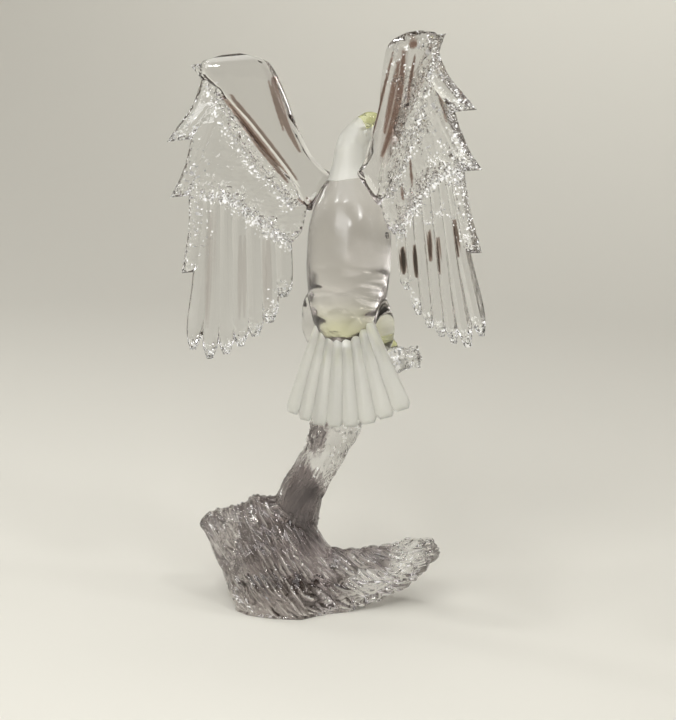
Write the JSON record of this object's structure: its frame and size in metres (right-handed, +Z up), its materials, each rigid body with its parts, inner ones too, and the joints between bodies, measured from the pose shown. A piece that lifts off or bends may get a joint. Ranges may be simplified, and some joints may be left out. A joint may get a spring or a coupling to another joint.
{
  "type": "crystal eagle figurine",
  "caption": "Clear crystal eagle with raised wings, frosted head and fanned tail, gripping a branch that rises from a root-shaped base.",
  "frame": {"origin": "on the flat underside of the base, below the eagle's feet", "axes": "+Z up, the eagle's shoulders lie along X with its left wing at +X, and its breast faces -Y"},
  "size_m": [0.1058, 0.0478, 0.1864],
  "materials": {
    "carved_crystal": "clear crystal carved with bark grooves",
    "body_crystal": "clear crystal, frosted on head and tail, beak and feet tinted yellow",
    "feather_crystal": "clear polished crystal with cut feathers"
  },
  "bodies": {
    "root": {"branch_base": "carved_crystal", "eagle_body": "body_crystal", "left_wing": "feather_crystal", "right_wing": "feather_crystal"}
  },
  "joints": []
}
